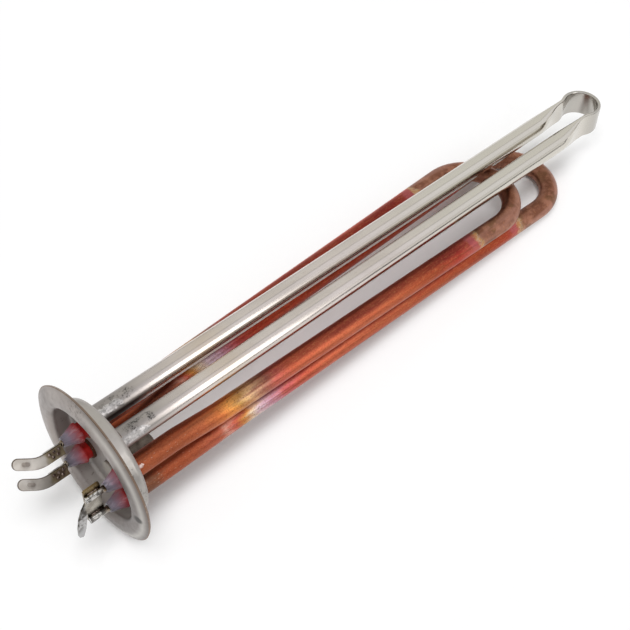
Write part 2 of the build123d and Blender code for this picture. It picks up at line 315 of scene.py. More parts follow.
class Shader(Nodes):
    """The nodes of a material, with the object's own coordinates at hand."""

    def __init__(self, name):
        self.material = bpy.data.materials.new(name)
        self.material.use_nodes = True
        super().__init__(self.material.node_tree)
        self.surface = self.tree.nodes["Principled BSDF"]
        coordinates = self.node("ShaderNodeTexCoord")
        self.place = coordinates.outputs["Object"]
        self.normal = coordinates.outputs["Normal"]
        self.x, self.y, self.z = self.parts(self.place)

    def near(self, point, inner, outer, uneven=0.0):
        """1 within inner of a point, falling to 0 at outer."""
        return self.ramp(self.plus(self.distance(self.place, point), uneven), outer, inner)

    def bump(self, *layers):
        """Layers are (height, distance in metres, strength)."""
        normal = None
        for height, distance, strength in layers:
            made = self.node("ShaderNodeBump", Height=height, Distance=distance, Strength=strength)
            if normal:
                self.feed(made.inputs["Normal"], normal)
            normal = made.outputs[0]
        self.feed(self.surface.inputs["Normal"], normal)

    def finish(self, base, roughness, metallic=1.0, **others):
        self.feed(self.surface.inputs["Base Color"], base)
        self.feed(self.surface.inputs["Roughness"], roughness)
        self.feed(self.surface.inputs["Metallic"], metallic)
        for key, value in others.items():
            self.feed(self.surface.inputs[key.replace("_", " ")], value)
        return self.material


# Finishes, where s is always the finish's own shader


def flange_steel():
    """Pressed stainless sheet: satin, warm grey, with painted shade towards the lower right, a painted
    highlight on its crest, and a browned cut edge.
    """
    s = Shader("flange_steel")
    broad = s.cloud(s.place, 45.0, 4.0, 0.6)
    fine = s.cloud(s.place, 420.0, 4.0, 0.65)
    grain = s.cloud(s.place, 2600.0, 2.0)
    radius = s.maths("SQRT", s.plus(s.times(s.y, s.y), s.times(s.z, s.z)))
    base = s.mix(s.ramp(broad, 0.35, 0.7), colour(168, 160, 155), colour(144, 136, 132))
    # Painted shade: the brim darker towards the lower right, where it mirrors the shaded floor.
    across = s.plus(s.times(s.y, 0.8), s.times(s.z, 0.45))
    painted_shade_low = s.ramp(s.plus(across, s.wander(broad, 24.0 * MM)), 4.0 * MM, -20.0 * MM)
    base = s.mix(s.times(painted_shade_low, 0.85), base, colour(116, 109, 106))
    base = s.mix(s.ramp(fine, 0.56, 0.74, 0.0, 0.22), base, colour(122, 117, 110))
    # Painted highlight: a pale band along the brim's crest on the near side.
    crest = s.band(radius, (BRIM_RADIUS - 3.6) * MM, (BRIM_RADIUS - 1.6) * MM, 1.2 * MM)
    base = s.mix(s.times(crest, s.ramp(s.y, 4.0 * MM, -14.0 * MM), 0.60), base, colour(208, 205, 199))
    outside = s.ramp(radius, (CUP_WALL_RADIUS - 0.1) * MM, (CUP_WALL_RADIUS + 0.2) * MM)
    base = s.mix(s.times(outside, s.ramp(s.x, 1.2 * MM, 2.2 * MM), 0.45), base, colour(206, 203, 197))
    inside = s.ramp(radius, (CUP_WALL_RADIUS + 0.3) * MM, (CUP_WALL_RADIUS - 0.3) * MM)
    inside = s.times(inside, s.ramp(s.x, -2.0 * MM, 1.0 * MM))
    base = s.mix(s.times(inside, 0.80), base, colour(174, 169, 164))
    edge = s.ramp(radius, (BRIM_RADIUS - 0.5) * MM, (BRIM_RADIUS - 0.2) * MM)
    base = s.mix(s.times(edge, 0.80), base, colour(128, 104, 84))
    flakes = s.times(edge, s.ramp(s.cloud(s.place, 700.0, 2.0), 0.62, 0.72), 0.5)
    base = s.mix(flakes, base, colour(206, 198, 186))
    base = specks(s, base)
    # Painted shade of a small dent low on the brim: a dark oval spot, duller than the steel round it.
    dent_shade = s.near(BRIM_DENT_SHADE, 1.1 * MM, 2.5 * MM, s.wander(fine, 1.0 * MM))
    base = s.mix(s.times(dent_shade, 0.80), base, colour(60, 57, 54))
    dull = s.largest(s.times(inside, 0.50), s.times(dent_shade, 0.80))
    rough = s.plus(s.ramp(fine, 0.3, 0.75, 0.32, 0.44), s.times(dull, 0.22))
    s.bump((broad, 0.8 * MM, 0.08), (grain, 0.01 * MM, 0.2))
    return s.finish(base, rough, s.minus(1.0, dull))


def specks(s, base):
    """Dark specks in patches all over the flange, and crowded together on two spots."""
    dots = s.ramp(s.cloud(s.place, 900.0, 2.0, 0.5), 0.64, 0.70)
    patch = s.ramp(s.cloud(s.place, 60.0, 2.0), 0.54, 0.64)
    base = s.mix(s.times(dots, patch, 0.5), base, colour(84, 80, 76))
    crowd = s.largest(
        s.near(BRIM_SPECKS, 2.0 * MM, 7.0 * MM),
        s.near(BRIM_SMEAR, 2.0 * MM, 8.0 * MM),
    )
    marks = s.ramp(s.cloud(s.place, 1100.0, 3.0, 0.6), 0.50, 0.60)
    return s.mix(s.times(marks, crowd, 0.45), base, colour(100, 96, 92))


def loop_line(s, end_centre):
    """Place along a loop's tube and across it, following the round end, in metres."""
    beyond = s.largest(s.minus(s.x, end_centre), 0.0)
    across = s.maths("SQRT", s.plus(s.times(beyond, beyond), s.times(s.y, s.y)))
    turn = s.maths("ARCTAN2", beyond, s.unsigned(s.y))
    straight = s.smallest(s.x, end_centre)
    return s.plus(straight, s.times(turn, LOOP_END_RADIUS * MM)), across


def copper(name, node, tints):
    """Copper tube with heat tints along it; tints are (millimetres along, colour)."""
    s = Shader(name)
    end_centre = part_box(node)[1].x - (LOOP_END_RADIUS + TUBE_RADIUS) * MM
    along, across = loop_line(s, end_centre)

    def drawn(lengthwise, crosswise, detail):
        """Cloud that is stretched along the tube."""
        sides = (s.times(across, crosswise), s.times(s.z, crosswise))
        return s.cloud(s.vector(s.times(along, lengthwise), *sides), 1.0, detail, 0.6)

    blotches = drawn(90.0, 220.0, 4.0)
    patches = drawn(20.0, 130.0, 3.0)
    streaks = drawn(14.0, 620.0, 3.0)
    scratches = drawn(420.0, 2600.0, 3.0)
    grain = s.cloud(s.place, 1600.0, 3.0)
    root = s.ramp(along, 46.0 * MM, 22.0 * MM)
    calm = s.minus(1.0, s.times(root, 0.6))
    base = heat_tints(s, along, blotches, streaks, tints)
    base = s.mix(s.ramp(patches, 0.50, 0.68, 0.0, 0.35), base, colour(164, 60, 44))
    base = s.mix(s.ramp(streaks, 0.50, 0.66, 0.0, 0.40), base, colour(112, 60, 44))
    base = leg_tints_and_painted_light(s, base, along, patches)
    base = s.mix(s.ramp(blotches, 0.30, 0.46, 0.35, 0.0), base, colour(112, 62, 46))
    base = s.mix(s.ramp(grain, 0.48, 0.62, 0.0, 0.30), base, colour(112, 52, 38))
    base = s.mix(s.times(s.ramp(scratches, 0.50, 0.66, 0.0, 0.20), calm), base, colour(206, 136, 90))
    base = loop_end(s, base, along, end_centre - RING_BEFORE_END * MM, patches, streaks)
    flecks = s.ramp(s.cloud(s.place, 1300.0, 3.0, 0.6), 0.58, 0.68, 0.0, 0.24)
    base = s.mix(s.times(flecks, calm), base, colour(206, 142, 92))
    dust = s.times(root, s.ramp(drawn(900.0, 2000.0, 2.0), 0.64, 0.72), 0.35)
    base = s.mix(dust, base, colour(204, 176, 156))
    pits = s.ramp(drawn(700.0, 1500.0, 2.0), 0.66, 0.70)
    pitted = s.band(along, 44.0 * MM, 66.0 * MM, 6.0 * MM)
    base = s.mix(s.times(pits, pitted, 0.7), base, colour(92, 66, 48))
    rough = s.plus(s.ramp(blotches, 0.3, 0.7, 0.36, 0.46), s.times(root, 0.12))
    s.bump((scratches, 0.008 * MM, 0.3), (grain, 0.012 * MM, 0.3), (blotches, 0.2 * MM, 0.05))
    return s.finish(base, rough)


def heat_tints(s, along, blotches, streaks, tints):
    """Copper's colours along the tube. Two clouds shift their borders, less so beyond the middle."""
    shift = s.plus(s.wander(blotches, 12.0 * MM), s.wander(streaks, 13.0 * MM))
    shift = s.times(shift, s.ramp(along, 100.0 * MM, 160.0 * MM, 1.0, 0.28))
    return s.stops(s.plus(along, shift), [(place * MM, tint) for place, tint in tints])


def leg_tints_and_painted_light(s, base, along, patches):
    """The left leg's red stretch, painted shade near its root and painted light on its outer side, and the
    dark top of both legs, partly heat tint and partly painted reflection.
    """
    _, sideways, upward = s.parts(s.normal)
    left = s.ramp(s.y, -2.0 * MM, 3.0 * MM)
    reddened = s.band(along, 72.0 * MM, 168.0 * MM, 10.0 * MM)
    base = s.mix(s.times(left, reddened, 0.60), base, colour(158, 44, 32))
    # Painted shade: the left leg darker brown near its root, under the steel tube's legs.
    painted_root_shade = s.band(along, 27.0 * MM, 46.0 * MM, 6.0 * MM)
    base = s.mix(s.times(left, painted_root_shade, 0.70), base, colour(84, 58, 50))
    # Painted light: the left leg's outer side made brighter red, as if lit from that side.
    outer = s.times(s.ramp(sideways, 0.10, 0.60), s.ramp(s.y, 2.0 * MM, 5.0 * MM))
    bright = s.band(along, 90.0 * MM, 200.0 * MM, 20.0 * MM)
    base = s.mix(s.times(outer, bright, 0.70), base, colour(214, 92, 68))
    # Dark top of both legs: partly heat tint, partly painted reflection of the steel tube's dark underside
    # above.
    top = s.times(s.ramp(upward, 0.62, 0.96), s.band(along, 58.0 * MM, 172.0 * MM, 12.0 * MM))
    darkened = s.ramp(patches, 0.34, 0.56, 0.45, 1.0)
    return s.mix(s.times(top, darkened, 0.75), base, colour(116, 44, 42))


def loop_end(s, base, along, place, patches, streaks):
    """A loop's round end, dusty beyond a pale ring at this place along it, and pinkish before the ring."""
    _, _, upward = s.parts(s.normal)
    wavy = s.plus(along, s.wander(s.cloud(s.place, 170.0, 3.0), 7.0 * MM))
    pink = s.band(wavy, place - 5.0 * MM, place - 0.8 * MM, 0.9 * MM)
    pink = s.times(pink, s.ramp(upward, 0.1, 0.7, 0.3, 1.0), 0.38)
    base = s.mix(pink, base, colour(180, 100, 112))
    mottle = s.cloud(s.place, 170.0, 5.0, 0.68)
    dusty = s.mix(s.ramp(mottle, 0.38, 0.60), colour(166, 118, 95), colour(124, 83, 64))
    dusty = s.mix(s.ramp(patches, 0.48, 0.64, 0.0, 0.5), dusty, colour(176, 132, 116))
    crust = s.ramp(s.cloud(s.place, 95.0, 3.0), 0.56, 0.62)
    crust = s.times(crust, s.ramp(streaks, 0.30, 0.55, 0.35, 0.70))
    dusty = s.mix(crust, dusty, colour(114, 84, 58))
    base = s.mix(s.ramp(wavy, place + 0.2 * MM, place + 2.2 * MM, 0.0, 0.94), base, dusty)
    crumbs = s.cloud(s.place, 620.0, 3.0, 0.6)
    ring = s.mix(s.ramp(crumbs, 0.44, 0.60), colour(204, 188, 152), colour(190, 146, 96))
    ringed = s.band(wavy, place - 0.4 * MM, place + 1.9 * MM, 0.9 * MM)
    return s.mix(s.times(ringed, s.ramp(crumbs, 0.36, 0.52, 0.2, 0.75)), base, ring)


COPPER_DULL = colour(164, 90, 60)
COPPER_ORANGE = colour(182, 104, 68)
COPPER_RED = colour(190, 96, 68)
COPPER_PALE = colour(226, 186, 138)
COPPER_GOLD = colour(196, 140, 72)
COPPER_OLIVE = colour(186, 144, 84)
COPPER_LAVENDER = colour(194, 156, 174)
COPPER_ROSE = colour(186, 96, 86)
COPPER_GREY = colour(158, 110, 96)

# Heat tints of the two loops: millimetres along the tube, and the colour there
SHORT_TINTS = (
    (5, COPPER_DULL), (26, COPPER_DULL), (38, COPPER_ORANGE), (44, colour(202, 118, 66)),
    (49, colour(232, 158, 82)), (53, COPPER_OLIVE), (57, COPPER_PALE), (60, colour(188, 150, 120)),
    (64, COPPER_GREY), (68, COPPER_ROSE), (78, COPPER_RED), (115, colour(190, 102, 70)),
    (150, colour(166, 78, 50)), (164, colour(176, 66, 54)), (172, COPPER_ROSE), (230, COPPER_ROSE),
)
LONG_TINTS = (
    (5, colour(112, 82, 66)), (13, colour(122, 80, 60)), (18, colour(158, 82, 54)),
    (32, colour(166, 86, 58)), (42, colour(176, 92, 70)), (46, colour(206, 150, 134)),
    (49, colour(194, 92, 76)), (53, COPPER_GOLD), (57, colour(220, 204, 176)), (61, colour(212, 194, 204)),
    (66, COPPER_LAVENDER), (73, colour(190, 98, 102)), (81, colour(184, 84, 66)), (92, COPPER_RED),
    (130, colour(172, 88, 60)), (184, colour(160, 72, 44)), (194, colour(168, 70, 50)),
    (199, COPPER_ROSE), (260, COPPER_ROSE),
)


def well_steel():
    """Drawn stainless tube: smooth, warm grey, with a faint gold tint, scorched marks at the root and a
    painted dark reflection under the left leg's root.
    """
    s = Shader("well_steel")
    lines = s.cloud(s.scaled(s.place, (25.0, 900.0, 900.0)), 1.0, 3.0, 0.5)
    broad = s.cloud(s.scaled(s.place, (50.0, 120.0, 120.0)), 1.0, 3.0)
    fine = s.cloud(s.place, 1000.0, 4.0, 0.65)
    base = s.mix(s.ramp(broad, 0.35, 0.7), colour(213, 204, 198), colour(203, 194, 187))
    base = s.mix(s.ramp(lines, 0.52, 0.70, 0.0, 0.10), base, colour(184, 178, 168))
    base = s.mix(s.ramp(fine, 0.56, 0.70, 0.0, 0.16), base, colour(168, 162, 152))
    base = s.mix(s.ramp(s.x, 120.0 * MM, 190.0 * MM, 0.0, 0.8), base, colour(209, 205, 195))
    root = s.ramp(s.x, 44.0 * MM, 10.0 * MM)
    base = s.mix(s.times(root, 0.80), base, colour(140, 135, 132))
    gold = s.times(s.band(s.x, 46.0 * MM, 62.0 * MM, 8.0 * MM), 0.25)
    base = s.mix(gold, base, colour(192, 166, 124))
    band_end = s.ramp(s.x, 252.0 * MM, 262.0 * MM)
    base = s.mix(s.times(band_end, 0.45), base, colour(150, 148, 147))
    base, soot = scorched(s, base)
    rough = s.plus(s.ramp(fine, 0.3, 0.7, 0.17, 0.20), s.times(root, 0.22))
    s.bump((lines, 0.004 * MM, 0.06), (broad, 0.15 * MM, 0.04), (soot, 0.04 * MM, 0.2))
    return s.finish(base, rough)


def scorched(s, base):
    """Painted dark reflection low on the steel tube's left leg near its root, and clumps of soot on top of
    both, with the soot's share.
    """
    _, facing_y, facing_z = s.parts(s.normal)
    # Painted reflection and shade: the downward-facing side of the left leg near the root made near black.
    under = s.times(s.band(s.x, 7.0 * MM, 24.0 * MM, 4.0 * MM), s.ramp(facing_z, 0.42, 0.22))
    left = s.ramp(s.y, 0.0, 1.0 * MM)
    base = s.mix(s.times(under, left, 0.85), base, colour(58, 56, 55))
    patch = s.times(s.band(s.x, 10.0 * MM, 22.0 * MM, 2.5 * MM), s.ramp(facing_z, 0.66, 0.86))
    patch = s.times(patch, s.ramp(facing_y, 0.40, 0.10))
    clumps = s.ramp(s.cloud(s.place, 300.0, 3.0), 0.44, 0.58)
    base = s.mix(s.times(patch, clumps, 0.55), base, colour(114, 111, 108))
    grit = s.cloud(s.place, 1700.0, 2.0, 0.5)
    soot = s.times(s.ramp(grit, 0.50, 0.60), patch, clumps)
    return s.mix(s.times(soot, 0.85), base, colour(50, 48, 46)), soot


def boss_steel():
    """Turned steel, dark from the brazing, with turning rings."""
    s = Shader("boss_steel")
    rings = s.rings(s.place, 900.0, 0.6)
    cloudy = s.cloud(s.place, 240.0, 4.0, 0.6)
    base = s.mix(s.ramp(cloudy, 0.35, 0.7), colour(146, 136, 126), colour(104, 95, 86))
    low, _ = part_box("anode_boss")
    outside = s.ramp(s.x, low.x + 0.9 * MM, low.x + 0.3 * MM)
    base = s.mix(s.times(outside, 0.85), base, colour(176, 170, 160))
    s.bump((rings, 0.03 * MM, 0.3), (cloudy, 0.1 * MM, 0.3))
    return s.finish(base, s.ramp(cloudy, 0.3, 0.7, 0.40, 0.6), s.minus(1.0, s.times(outside, 0.7)))


def tab_nickel(loop):
    """Nickel-plated elbow tab: bright, browned to gold near its welds, with brown cut edges and a darker rim
    round its outer face.
    """
    s = Shader(f"tab_nickel_{loop}")
    start, out, _ = tab_plane(loop)
    cloudy = s.cloud(s.place, 260.0, 2.0, 0.5)
    uneven = s.wander(cloudy, 4.0 * MM)
    heat = s.ramp(s.plus(s.x, uneven), start.x - 8.0 * MM, start.x - 5.5 * MM)
    base = s.mix(s.ramp(cloudy, 0.35, 0.7), colour(196, 190, 183), colour(180, 173, 165))
    base = s.mix(s.times(heat, 0.80), base, colour(160, 144, 108))
    base = s.mix(s.times(heat, s.ramp(cloudy, 0.46, 0.60), 0.35), base, colour(100, 82, 56))
    for spot in weld_spots(loop):
        halo = s.near(spot, 0.5 * MM, 1.5 * MM, s.times(uneven, 0.25))
        base = s.mix(s.times(halo, 0.65), base, colour(92, 75, 64))
    edge = s.ramp(s.unsigned(s.dot(s.normal, out)), 0.70, 0.30)
    base = s.mix(s.times(edge, 0.90), base, colour(98, 80, 54))
    base = s.mix(tab_rim(s, loop, uneven), base, colour(74, 58, 42))
    level = out.dot(start)
    sunk = s.ramp(s.dot(s.place, out), level - 0.03 * MM, level - 0.16 * MM)
    sunk = s.times(sunk, s.near(tab_detent(loop), 1.7 * MM, 1.9 * MM))
    base = s.mix(s.times(sunk, 0.45), base, colour(112, 100, 90))
    smudge = s.near(tab_detent(loop), 1.0 * MM, 2.2 * MM, s.times(uneven, 0.4))
    smudge = s.times(smudge, s.ramp(s.cloud(s.place, 420.0, 2.0), 0.35, 0.60), 0.40)
    base = s.mix(smudge, base, colour(84, 72, 66))
    rough = s.plus(s.ramp(cloudy, 0.3, 0.7, 0.32, 0.37), s.times(heat, 0.05))
    s.bump((cloudy, 0.02 * MM, 0.05))
    return s.finish(base, rough)


def tab_rim(s, loop, uneven):
    """Share of darkening round the rim of a left tab's faces, most of it along the upper edge."""
    start, _, across = tab_plane(loop)
    aside = s.minus(s.dot(s.place, across), across.dot(start) - TAB_OFFSET * MM)
    flat = s.vector(s.minus(s.x, start.x), aside, 0.0)
    line = tab_line()
    gaps = [s.off_line(flat, first, last) for first, last in zip(line, line[1:])]
    off = s.plus(s.smallest(*gaps), s.times(uneven, 0.05))
    rim = s.ramp(off, (TAB_WIDTH / 2 - 0.42) * MM, (TAB_WIDTH / 2 - 0.10) * MM)
    lean = (line[-1] - line[0]).normalized()
    upper = s.ramp(s.dot(flat, (lean.y, -lean.x, 0.0)), -2.2 * MM, 0.2 * MM, 0.40, 0.95)
    return s.times(rim, upper)


def bridge_nickel():
    """The common terminal: pale in the middle, gold-brown along the top and beside the pins."""
    s = Shader("bridge_nickel")
    cloudy = s.cloud(s.place, 320.0, 4.0, 0.6)
    fine = s.cloud(s.place, 700.0, 3.0, 0.6)
    level = s.plus(s.z, s.wander(cloudy, 2.0 * MM))
    low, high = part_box("bridge")
    base = s.mix(s.ramp(cloudy, 0.35, 0.7), colour(166, 160, 150), colour(136, 129, 119))
    top = s.ramp(level, high.z - 4.2 * MM, high.z - 2.6 * MM)
    plate = s.ramp(s.x, low.x + 1.0 * MM, low.x + 6.0 * MM)
    base = s.mix(s.times(top, plate, 0.85), base, colour(142, 120, 78))
    for loop in LOOPS:
        pin_low, pin_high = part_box(f"pin_{loop}_right")
        beside = s.band(level, pin_low.z - 0.4 * MM, pin_high.z + 0.5 * MM, 0.5 * MM)
        weld = s.times(beside, s.ramp(s.x, high.x - 7.0 * MM, high.x - 5.0 * MM))
        base = s.mix(s.times(weld, 0.75), base, colour(96, 80, 58))
    edge = s.ramp(s.unsigned(s.dot(s.normal, (0.0, 1.0, 0.0))), 0.6, 0.3)
    base = s.mix(s.times(edge, 0.5), base, colour(120, 100, 68))
    # Painted reflections on the blade: dark and bright patches, darker higher up and pale at its tip.
    blade = s.ramp(s.x, high.x - 6.4 * MM, high.x - 7.6 * MM)
    blade_reflections = s.mix(s.ramp(cloudy, 0.44, 0.58), colour(178, 177, 177), colour(66, 63, 62))
    blade_reflections = s.mix(s.ramp(s.z, low.z + 5.0 * MM, low.z + 10.0 * MM, 0.0, 0.55), blade_reflections, colour(62, 60, 58))
    blade_reflections = s.mix(s.ramp(s.z, low.z + 4.5 * MM, low.z + 1.5 * MM, 0.0, 0.80), blade_reflections, colour(196, 196, 197))
    base = s.mix(s.times(blade, 0.85), base, blade_reflections)
    rough = s.minus(s.ramp(cloudy, 0.3, 0.7, 0.20, 0.30), s.times(blade, 0.10))
    s.bump((cloudy, 0.15 * MM, 0.12), (fine, 0.02 * MM, 0.25))
    return s.finish(base, rough)


def pin_steel():
    """Drawn pin, browned next to the cone, with painted reflections as dark and bright patches."""
    s = Shader("pin_steel")
    cloudy = s.cloud(s.place, 500.0, 4.0, 0.6)
    lines = s.cloud(s.scaled(s.place, (150.0, 3000.0, 3000.0)), 1.0, 3.0)
    heat = s.ramp(s.x, -7.0 * MM, -4.8 * MM)
    # Painted reflections: dark and bright patches by a cloud.
    base = s.mix(s.ramp(cloudy, 0.44, 0.58), colour(196, 193, 188), colour(92, 88, 84))
    base = s.mix(s.times(heat, 0.7), base, colour(112, 90, 60))
    s.bump((lines, 0.01 * MM, 0.2), (cloudy, 0.12 * MM, 0.2))
    return s.finish(base, s.ramp(cloudy, 0.3, 0.7, 0.10, 0.24))


def weld_metal():
    """Metal that melted in a spot weld: bright, with dark patches that are partly burnt metal and partly
    painted dark reflections.
    """
    s = Shader("weld_metal")
    cloudy = s.cloud(s.place, 900.0, 4.0, 0.65)
    base = s.mix(s.ramp(cloudy, 0.42, 0.6), colour(170, 154, 145), colour(84, 68, 60))
    s.bump((cloudy, 0.08 * MM, 0.4))
    return s.finish(base, s.ramp(cloudy, 0.3, 0.7, 0.18, 0.4))


def braze_metal():
    """Silver braze run round a tube's root, dulled and sooty in places."""
    s = Shader("braze_metal")
    cloudy = s.cloud(s.place, 420.0, 4.0, 0.6)
    fine = s.cloud(s.place, 1500.0, 3.0, 0.6)
    base = s.mix(s.ramp(cloudy, 0.38, 0.62), colour(176, 160, 148), colour(112, 92, 80))
    base = s.mix(s.ramp(fine, 0.60, 0.70, 0.0, 0.7), base, colour(58, 52, 48))
    s.bump((cloudy, 0.3 * MM, 0.35), (fine, 0.05 * MM, 0.4))
    return s.finish(base, s.ramp(cloudy, 0.3, 0.7, 0.28, 0.5))


def run_metal():
    """Braze that ran along the steel tube: silvery and rough, with soot in its hollows."""
    s = Shader("run_metal")
    cloudy = s.cloud(s.place, 500.0, 4.0, 0.6)
    grit = s.cloud(s.place, 1500.0, 2.0, 0.5)
    base = s.mix(s.ramp(cloudy, 0.40, 0.62), colour(202, 198, 196), colour(166, 162, 160))
    base = s.mix(s.ramp(grit, 0.54, 0.64, 0.0, 0.45), base, colour(98, 96, 94))
    s.bump((cloudy, 0.06 * MM, 0.15), (grit, 0.02 * MM, 0.15))
    return s.finish(base, s.ramp(cloudy, 0.3, 0.7, 0.42, 0.52))


def dry_flux():
    """Dried brazing flux: chalky, pinkish white."""
    s = Shader("dry_flux")
    cloudy = s.cloud(s.place, 900.0, 3.0, 0.6)
    base = s.mix(s.ramp(cloudy, 0.35, 0.65), colour(224, 204, 198), colour(188, 150, 138))
    s.bump((cloudy, 0.1 * MM, 0.4))
    return s.finish(base, s.ramp(cloudy, 0.3, 0.7, 0.4, 0.6), 0.2)


def red_rubber():
    """Moulded red bush, satin, a little dusty."""
    s = Shader("red_rubber")
    cloudy = s.cloud(s.place, 300.0, 3.0, 0.6)
    base = s.mix(s.ramp(cloudy, 0.35, 0.75), colour(196, 26, 18), colour(150, 22, 20))
    s.bump((cloudy, 0.1 * MM, 0.2))
    return s.finish(base, s.ramp(cloudy, 0.3, 0.7, 0.38, 0.55), 0.0, Specular_IOR_Level=0.5)


def clear_silicone():
    """Cast silicone cone: cloudy lilac at the tip, with draw lines, and red at its base, painted in for the
    red bush seen through it.
    """
    s = Shader("clear_silicone")
    streaks = s.cloud(s.scaled(s.place, (90.0, 700.0, 700.0)), 1.0, 3.0, 0.6)
    cloudy = s.cloud(s.place, 260.0, 3.0)
    # Red towards the base: painted light from the red bush seen through the silicone.
    base = s.stops(s.plus(s.x, s.wander(streaks, 3.5 * MM)), (
        (-4.4 * MM, colour(92, 88, 98)),
        (-2.4 * MM, colour(120, 108, 122)),
        (-0.2 * MM, colour(146, 94, 106)),
        (1.4 * MM, colour(168, 64, 68)),
        (2.5 * MM, colour(178, 30, 26)),
    ))
    base = s.mix(s.ramp(streaks, 0.5, 0.7, 0.0, 0.35), base, colour(182, 170, 180))
    s.bump((streaks, 0.3 * MM, 0.3), (cloudy, 0.2 * MM, 0.2))
    s.surface.subsurface_method = "RANDOM_WALK"
    return s.finish(
        base, s.ramp(cloudy, 0.3, 0.7, 0.26, 0.42), 0.0, Subsurface_Weight=0.45,
        Subsurface_Radius=(2.0 * MM, 1.2 * MM, 1.2 * MM), Specular_IOR_Level=0.5,
    )


def powder():
    """Compacted magnesia."""
    s = Shader("magnesia")
    cloudy = s.cloud(s.place, 900.0, 4.0, 0.6)
    base = s.mix(cloudy, colour(226, 222, 212), colour(204, 198, 186))
    s.bump((cloudy, 0.1 * MM, 0.4))
    return s.finish(base, 0.85, 0.0)


def winding():
    """Resistance wire, seen as the grooves of its turns, with painted shade in the grooves."""
    s = Shader("resistance_wire")
    turns = s.rings(s.place, 330.0)
    # Painted shade: dark bands in the grooves between the turns.
    base = s.mix(turns, colour(96, 92, 86), colour(158, 154, 146))
    s.bump((turns, 0.3 * MM, 0.8))
    return s.finish(base, 0.35)


def floor_paper():
    """Plain pale paper, white away from the object, and glowing beside it as painted light that lightens its
    shadow there. It throws little light back up.
    """
    s = Shader("floor_paper")
    seen = s.node("ShaderNodeLightPath").outputs
    base = s.mix(s.cloud(s.place, 300.0, 3.0), colour(252, 252, 252), colour(249, 249, 250))
    base = s.mix(seen["Is Diffuse Ray"], base, colour(205, 205, 208))
    # Painted light: beside and past the object the floor glows for camera and glossy rays, lightening the
    # object's shadow.
    beside = s.largest(s.ramp(s.y, -11.0 * MM, -24.0 * MM), s.ramp(s.y, 26.0 * MM, 44.0 * MM))
    beyond = s.largest(s.ramp(s.x, 245.0 * MM, 275.0 * MM), s.ramp(s.x, 0.0, -30.0 * MM))
    painted_light_beside = s.times(s.largest(beside, beyond), 0.6)
    away = s.largest(
        s.ramp(s.unsigned(s.y), 55.0 * MM, 120.0 * MM),
        s.ramp(s.x, 290.0 * MM, 380.0 * MM),
        s.ramp(s.x, -50.0 * MM, -140.0 * MM),
    )
    shown = s.largest(seen["Is Camera Ray"], seen["Is Glossy Ray"], seen["Is Transmission Ray"])
    glow = s.times(shown, s.largest(painted_light_beside, away))
    base = s.mix(glow, base, colour(0, 0, 0))
    return s.finish(
        base, 0.9, 0.0, Specular_IOR_Level=0.1, Emission_Color=colour(255, 255, 255), Emission_Strength=glow,
    )


# Pieces


def paint(node, material):
    for holder in frame["nodes"][node].material_slots:
        holder.material = material


def mesh_points(node):
    return [vertex.co for vertex in frame["nodes"][node].data.vertices]


def box_axis(node):
    """Y and z of the middle of a node's box."""
    low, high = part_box(node)
    return (low.y + high.y) / 2, (low.z + high.z) / 2


def tab_plane(loop):
    """Where a left tab's outer face starts, and its outward and crosswise directions."""
    roll = radians(TAB_ROLL)
    out = Vector((0, -sin(roll), cos(roll)))
    across = Vector((0, cos(roll), sin(roll)))
    axis = Vector((0, *box_axis(f"cone_{loop}_left")))
    level = max(out.dot(point) for point in mesh_points(f"tab_{loop}"))
    start = axis + out * (level - out.dot(axis)) - across * PIN_DRIFT * MM
    start.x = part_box(f"tab_{loop}")[1].x
    return start, out, across


def tab_line():
    """Centre line of a left tab in its own plane, from its welded end to the middle of its tip."""
    points = [Vector((0, 0, 0))]
    for step in range(TAB_ELBOW_STEPS + 1):
        turn = radians(TAB_TURN) * step / TAB_ELBOW_STEPS
        along = TAB_STRAIGHT + TAB_ELBOW_RADIUS * sin(turn)
        points.append(Vector((-along, TAB_ELBOW_RADIUS * (1 - cos(turn)), 0)) * MM)
    turn = radians(TAB_TURN)
    points.append(points[-1] + Vector((-cos(turn), sin(turn), 0)) * TAB_BLADE * MM)
    return points


def weld_spots(loop):
    """Middles of the spot welds on a left tab's outer face."""
    start, _, across = tab_plane(loop)
    spots = []
    for place, aside in WELD_SPOT_PLACES:
        spots.append(start - Vector((place * MM, 0, 0)) + across * aside * MM)
    return spots


def tab_detent(loop):
    """Middle of the pressed hollow in a left tab's blade: the only face that far under the outer one."""
    start, out, _ = tab_plane(loop)
    level = out.dot(start) - TAB_DETENT_DEPTH * MM
    sunk = [point for point in mesh_points(f"tab_{loop}") if abs(out.dot(point) - level) < 0.02 * MM]
    return sum(sunk, Vector()) / len(sunk)


def paint_all():
    """The finish of every CAD node."""
    paint("flange", flange_steel())
    paint("sensor_well", well_steel())
    paint("anode_boss", boss_steel())
    paint("sheath_short", copper("copper_short", "sheath_short", SHORT_TINTS))
    paint("sheath_long", copper("copper_long", "sheath_long", LONG_TINTS))
    paint("bridge", bridge_nickel())
    shared = {"pin": pin_steel(), "bush": red_rubber(), "cone": clear_silicone()}
    for end in ENDS:
        for kind, material in shared.items():
            paint(f"{kind}_{end}", material)
    inner = {"fill": powder(), "coil": winding()}
    for loop in LOOPS:
        paint(f"tab_{loop}", tab_nickel(loop))
        for kind, material in inner.items():
            paint(f"{kind}_{loop}", material)


def add_object(name, data):
    made = bpy.data.objects.new(name, data)
    bpy.context.scene.collection.objects.link(made)
    return made


def add_mesh(name, points, faces, material):
    mesh = bpy.data.meshes.new(name)
    mesh.from_pydata(points, [], faces)
    mesh.materials.append(material)
    return add_object(name, mesh)


def piece(name, points, faces, material):
    """A mesh that rides on the object, smooth, with a finish of its own."""
    made = add_mesh(name, points, faces, material)
    for polygon in made.data.polygons:
        polygon.use_smooth = True
    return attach(made, "root")


